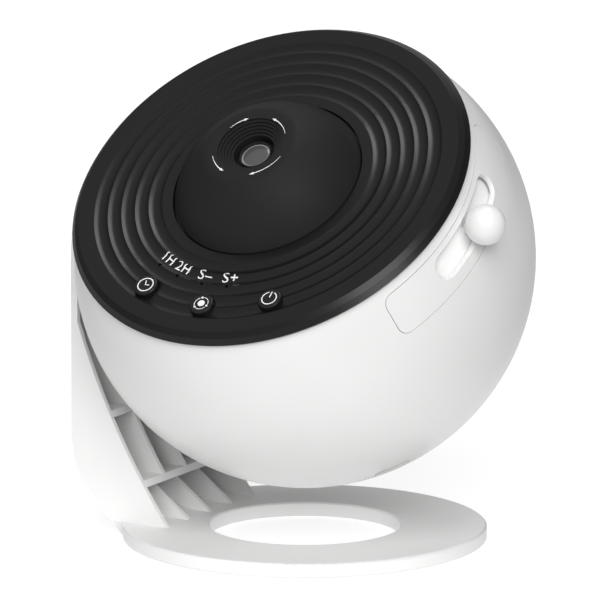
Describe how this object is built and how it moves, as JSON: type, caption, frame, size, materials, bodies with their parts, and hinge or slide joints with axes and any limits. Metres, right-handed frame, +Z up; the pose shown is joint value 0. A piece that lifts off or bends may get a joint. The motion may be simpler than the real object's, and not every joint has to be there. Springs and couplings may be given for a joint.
{
  "type": "planetarium projector",
  "caption": "Ball-shaped star projector on a one-sided tilting arm with a ring base, a domed lens cover, a focus lever, press keys and a rotating film disc.",
  "frame": {"origin": "centre of the base ring's hole, on the ring's underside", "axes": "+Z up out of the base ring; +X along the tilt pivot, away from the arm; -Y the side the lens leans to"},
  "size_m": [0.1611, 0.1496, 0.1643],
  "materials": {
    "white_shell": "fine satin moulded plastic, white",
    "white_stand": "satin moulded plastic, white",
    "black_panel": "matt black moulded plastic",
    "black_key": "satin black key cap",
    "inner_plastic": "black inner moulding",
    "bearing_plastic": "natural low-friction plastic",
    "pad_rubber": "soft black rubber",
    "zinc_steel": "zinc-plated steel",
    "polished_steel": "ground steel rod",
    "motor_can": "drawn steel can",
    "sink_metal": "clear anodised",
    "brass_gear": "turned brass",
    "circuit_board": "green solder mask",
    "lens_glass": "clear coated lens",
    "pipe_clear": "clear moulded plastic",
    "film_black": "coated film between clear discs",
    "emitter_yellow": "phosphor lens",
    "inlet_black": "black socket moulding"
  },
  "bodies": {
    "stand": {"stand_frame": "white_stand", "foot_pads": "pad_rubber", "pivot_bolt": "zinc_steel", "friction_washer": "bearing_plastic", "thrust_washer": "zinc_steel", "spring_washer": "zinc_steel", "pivot_nut": "zinc_steel", "pivot_cap": "white_stand"},
    "head": {"head_shell": "white_shell", "front_panel": "black_panel", "focus_cover_plate": "white_shell", "inner_frame": "inner_plastic", "frame_screws": "zinc_steel", "bayonet_ring": "black_panel", "guide_rods": "polished_steel", "focus_retainer": "inner_plastic", "control_board": "circuit_board", "board_screws": "zinc_steel", "button_switches": "inner_plastic", "light_pipes": "pipe_clear", "indicator_lamps": "pipe_clear", "power_inlet": "inlet_black", "inlet_board": "circuit_board"},
    "dome": {"dome_cover": "black_panel", "lens_barrel": "black_panel", "front_lens": "lens_glass", "rear_lens": "lens_glass", "lens_spacer": "inner_plastic", "lens_retainer": "inner_plastic"},
    "focus": {"focus_ring": "inner_plastic", "focus_shutter": "white_shell", "focus_knob": "white_shell"},
    "light_engine": {"film_stage": "inner_plastic", "cam_pins": "polished_steel", "carrier_clip": "inner_plastic", "condenser_holder": "inner_plastic", "holder_screws": "zinc_steel", "condenser_lens": "lens_glass", "led_board": "circuit_board", "led_emitter": "emitter_yellow", "heat_sink": "sink_metal", "sink_screws": "zinc_steel", "spin_motor": "motor_can"},
    "disc": {"disc_carrier": "bearing_plastic", "film_disc": "film_black"},
    "pinion": {"motor_pinion": "brass_gear", "motor_shaft": "polished_steel"},
    "timer_button": {"timer_button": "black_key"},
    "mode_button": {"mode_button": "black_key"},
    "power_button": {"power_button": "black_key"}
  },
  "joints": [
    {"name": "head_tilt", "type": "hinge", "parent": "stand", "child": "head", "pos_m": [0, 0, 0.0932], "axis": [1, 0, 0], "continuous": true},
    {"name": "dome_twist", "type": "hinge", "parent": "head", "child": "dome", "pos_m": [0, 0, 0.0932], "axis": [0, -0.6334, 0.7738], "range_deg": [0, 30]},
    {"name": "focus_turn", "type": "hinge", "parent": "head", "child": "focus", "pos_m": [0, 0, 0.0932], "axis": [0, -0.6334, 0.7738], "range_deg": [-12, 12]},
    {"name": "stage_slide", "type": "slide", "parent": "head", "child": "light_engine", "axis": [0, -0.6334, 0.7738], "range_m": [-0.0015, 0.0015]},
    {"name": "disc_spin", "type": "hinge", "parent": "light_engine", "child": "disc", "pos_m": [0, 0, 0.0932], "axis": [0, -0.6334, 0.7738], "continuous": true},
    {"name": "pinion_spin", "type": "hinge", "parent": "light_engine", "child": "pinion", "pos_m": [0, 0.02445, 0.11321], "axis": [0, -0.6334, 0.7738], "continuous": true},
    {"name": "timer_press", "type": "slide", "parent": "head", "child": "timer_button", "axis": [0, 0.6334, -0.7738], "range_m": [0, 0.001], "stiffness_N_per_m": 200, "springref_m": -0.003},
    {"name": "mode_press", "type": "slide", "parent": "head", "child": "mode_button", "axis": [0, 0.6334, -0.7738], "range_m": [0, 0.001], "stiffness_N_per_m": 200, "springref_m": -0.003},
    {"name": "power_press", "type": "slide", "parent": "head", "child": "power_button", "axis": [0, 0.6334, -0.7738], "range_m": [0, 0.001], "stiffness_N_per_m": 200, "springref_m": -0.003}
  ],
  "couplings": [
    {"joint": "stage_slide", "follows": "focus_turn", "m_per_rad": 0.007162},
    {"joint": "pinion_spin", "follows": "disc_spin", "ratio": -7.7778}
  ]
}
